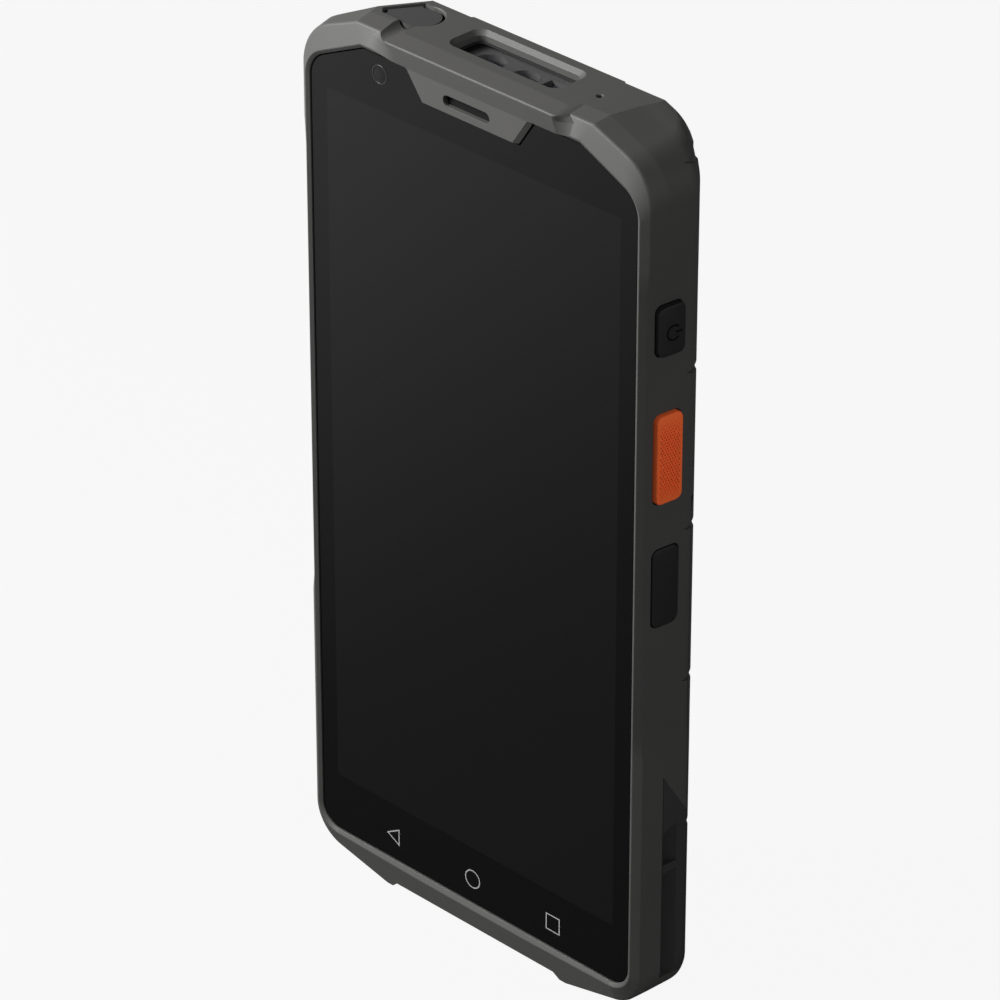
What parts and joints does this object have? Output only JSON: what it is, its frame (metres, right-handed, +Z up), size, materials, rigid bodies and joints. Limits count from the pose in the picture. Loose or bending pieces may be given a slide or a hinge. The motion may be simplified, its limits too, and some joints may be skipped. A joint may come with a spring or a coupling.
{
  "type": "portable barcode data terminal",
  "caption": "Rugged slab handheld terminal: tall display, scan window in the top edge, side scan keys and a tilt-out battery pack.",
  "frame": {"origin": "middle of the body's base at the height of its feet", "axes": "+X to the right as seen from the display, +Y from the display to the back, +Z up along the body"},
  "size_m": [0.077, 0.0154, 0.1552],
  "materials": {
    "housing": "fine texture",
    "cover": "fine texture",
    "guard": "satin",
    "cover_glass": "polished, printed black from behind",
    "display": "dark, switched off",
    "adhesive": "matt",
    "midplate": "satin",
    "steel": "satin",
    "dark_steel": "satin",
    "tray": "satin",
    "seal": "matt",
    "circuit_board": "satin",
    "steel_can": "satin",
    "flex_board": "satin",
    "switch": "satin",
    "black_key": "satin",
    "orange_key": "fine texture",
    "scan_window": "polished",
    "engine": "satin",
    "lens": "polished",
    "clear_lens": "polished",
    "rubber": "satin",
    "mesh": "woven",
    "cell": "satin",
    "gold": "polished"
  },
  "bodies": {
    "terminal": {"front_housing": "housing", "rear_cover": "cover", "corner_guards": "guard", "cover_glass": "cover_glass", "display_panel": "display", "glass_seal": "adhesive", "midplate": "midplate", "midplate_screws": "steel", "battery_tray": "tray", "cover_seal": "seal", "cover_screws": "dark_steel", "main_board": "circuit_board", "shield_cans": "steel_can", "board_screws": "steel", "switch_board_right": "flex_board", "switch_board_left": "flex_board", "side_switches_right": "switch", "side_switches_left": "switch", "scan_window": "scan_window", "scan_engine": "engine", "imager_lens": "lens", "light_lens": "clear_lens", "aimer_lens": "clear_lens", "audio_jack": "engine", "earpiece": "engine", "earpiece_mesh": "mesh", "microphone": "steel_can", "front_camera": "engine", "rear_camera": "engine", "camera_window": "scan_window", "flash_lens": "clear_lens", "usb_board": "circuit_board", "usb_connector": "steel", "loudspeaker": "engine", "vibration_motor": "steel_can", "board_flex": "flex_board", "battery_contacts": "gold", "nfc_antenna": "adhesive"},
    "battery_pack": {"battery_cover": "cover", "battery_cell": "cell", "battery_pads": "gold"},
    "power_key": {"power_key": "black_key"},
    "scan_key_right": {"scan_key_right": "orange_key"},
    "function_key": {"function_key": "black_key"},
    "scan_key_left": {"scan_key_left": "orange_key"},
    "volume_key": {"volume_key": "black_key"},
    "jack_cover": {"jack_cover": "rubber"}
  },
  "joints": [
    {"name": "battery_tilt", "type": "hinge", "parent": "terminal", "child": "battery_pack", "pos_m": [0, 0.00568, 0.09108], "axis": [1, 0, 0], "range_deg": [0, 35]},
    {"name": "power_key_travel", "type": "slide", "parent": "terminal", "child": "power_key", "axis": [-1, 0, 0], "range_m": [0, 0.0003], "stiffness_N_per_m": 8000},
    {"name": "scan_key_right_travel", "type": "slide", "parent": "terminal", "child": "scan_key_right", "axis": [-1, 0, 0], "range_m": [0, 0.0003], "stiffness_N_per_m": 8000},
    {"name": "function_key_travel", "type": "slide", "parent": "terminal", "child": "function_key", "axis": [-1, 0, 0], "range_m": [0, 0.0003], "stiffness_N_per_m": 8000},
    {"name": "scan_key_left_travel", "type": "slide", "parent": "terminal", "child": "scan_key_left", "axis": [1, 0, 0], "range_m": [0, 0.0003], "stiffness_N_per_m": 8000},
    {"name": "volume_key_rock", "type": "hinge", "parent": "terminal", "child": "volume_key", "pos_m": [-0.03485, -0.00105, 0.1232], "axis": [0, 1, 0], "range_deg": [-2, 2], "stiffness_Nm_per_rad": 0.35},
    {"name": "jack_cover_hinge", "type": "hinge", "parent": "terminal", "child": "jack_cover", "pos_m": [-0.02256, 0.00243, 0.1544], "axis": [-0.5299, -0.848, 0], "range_deg": [0, 95]}
  ]
}
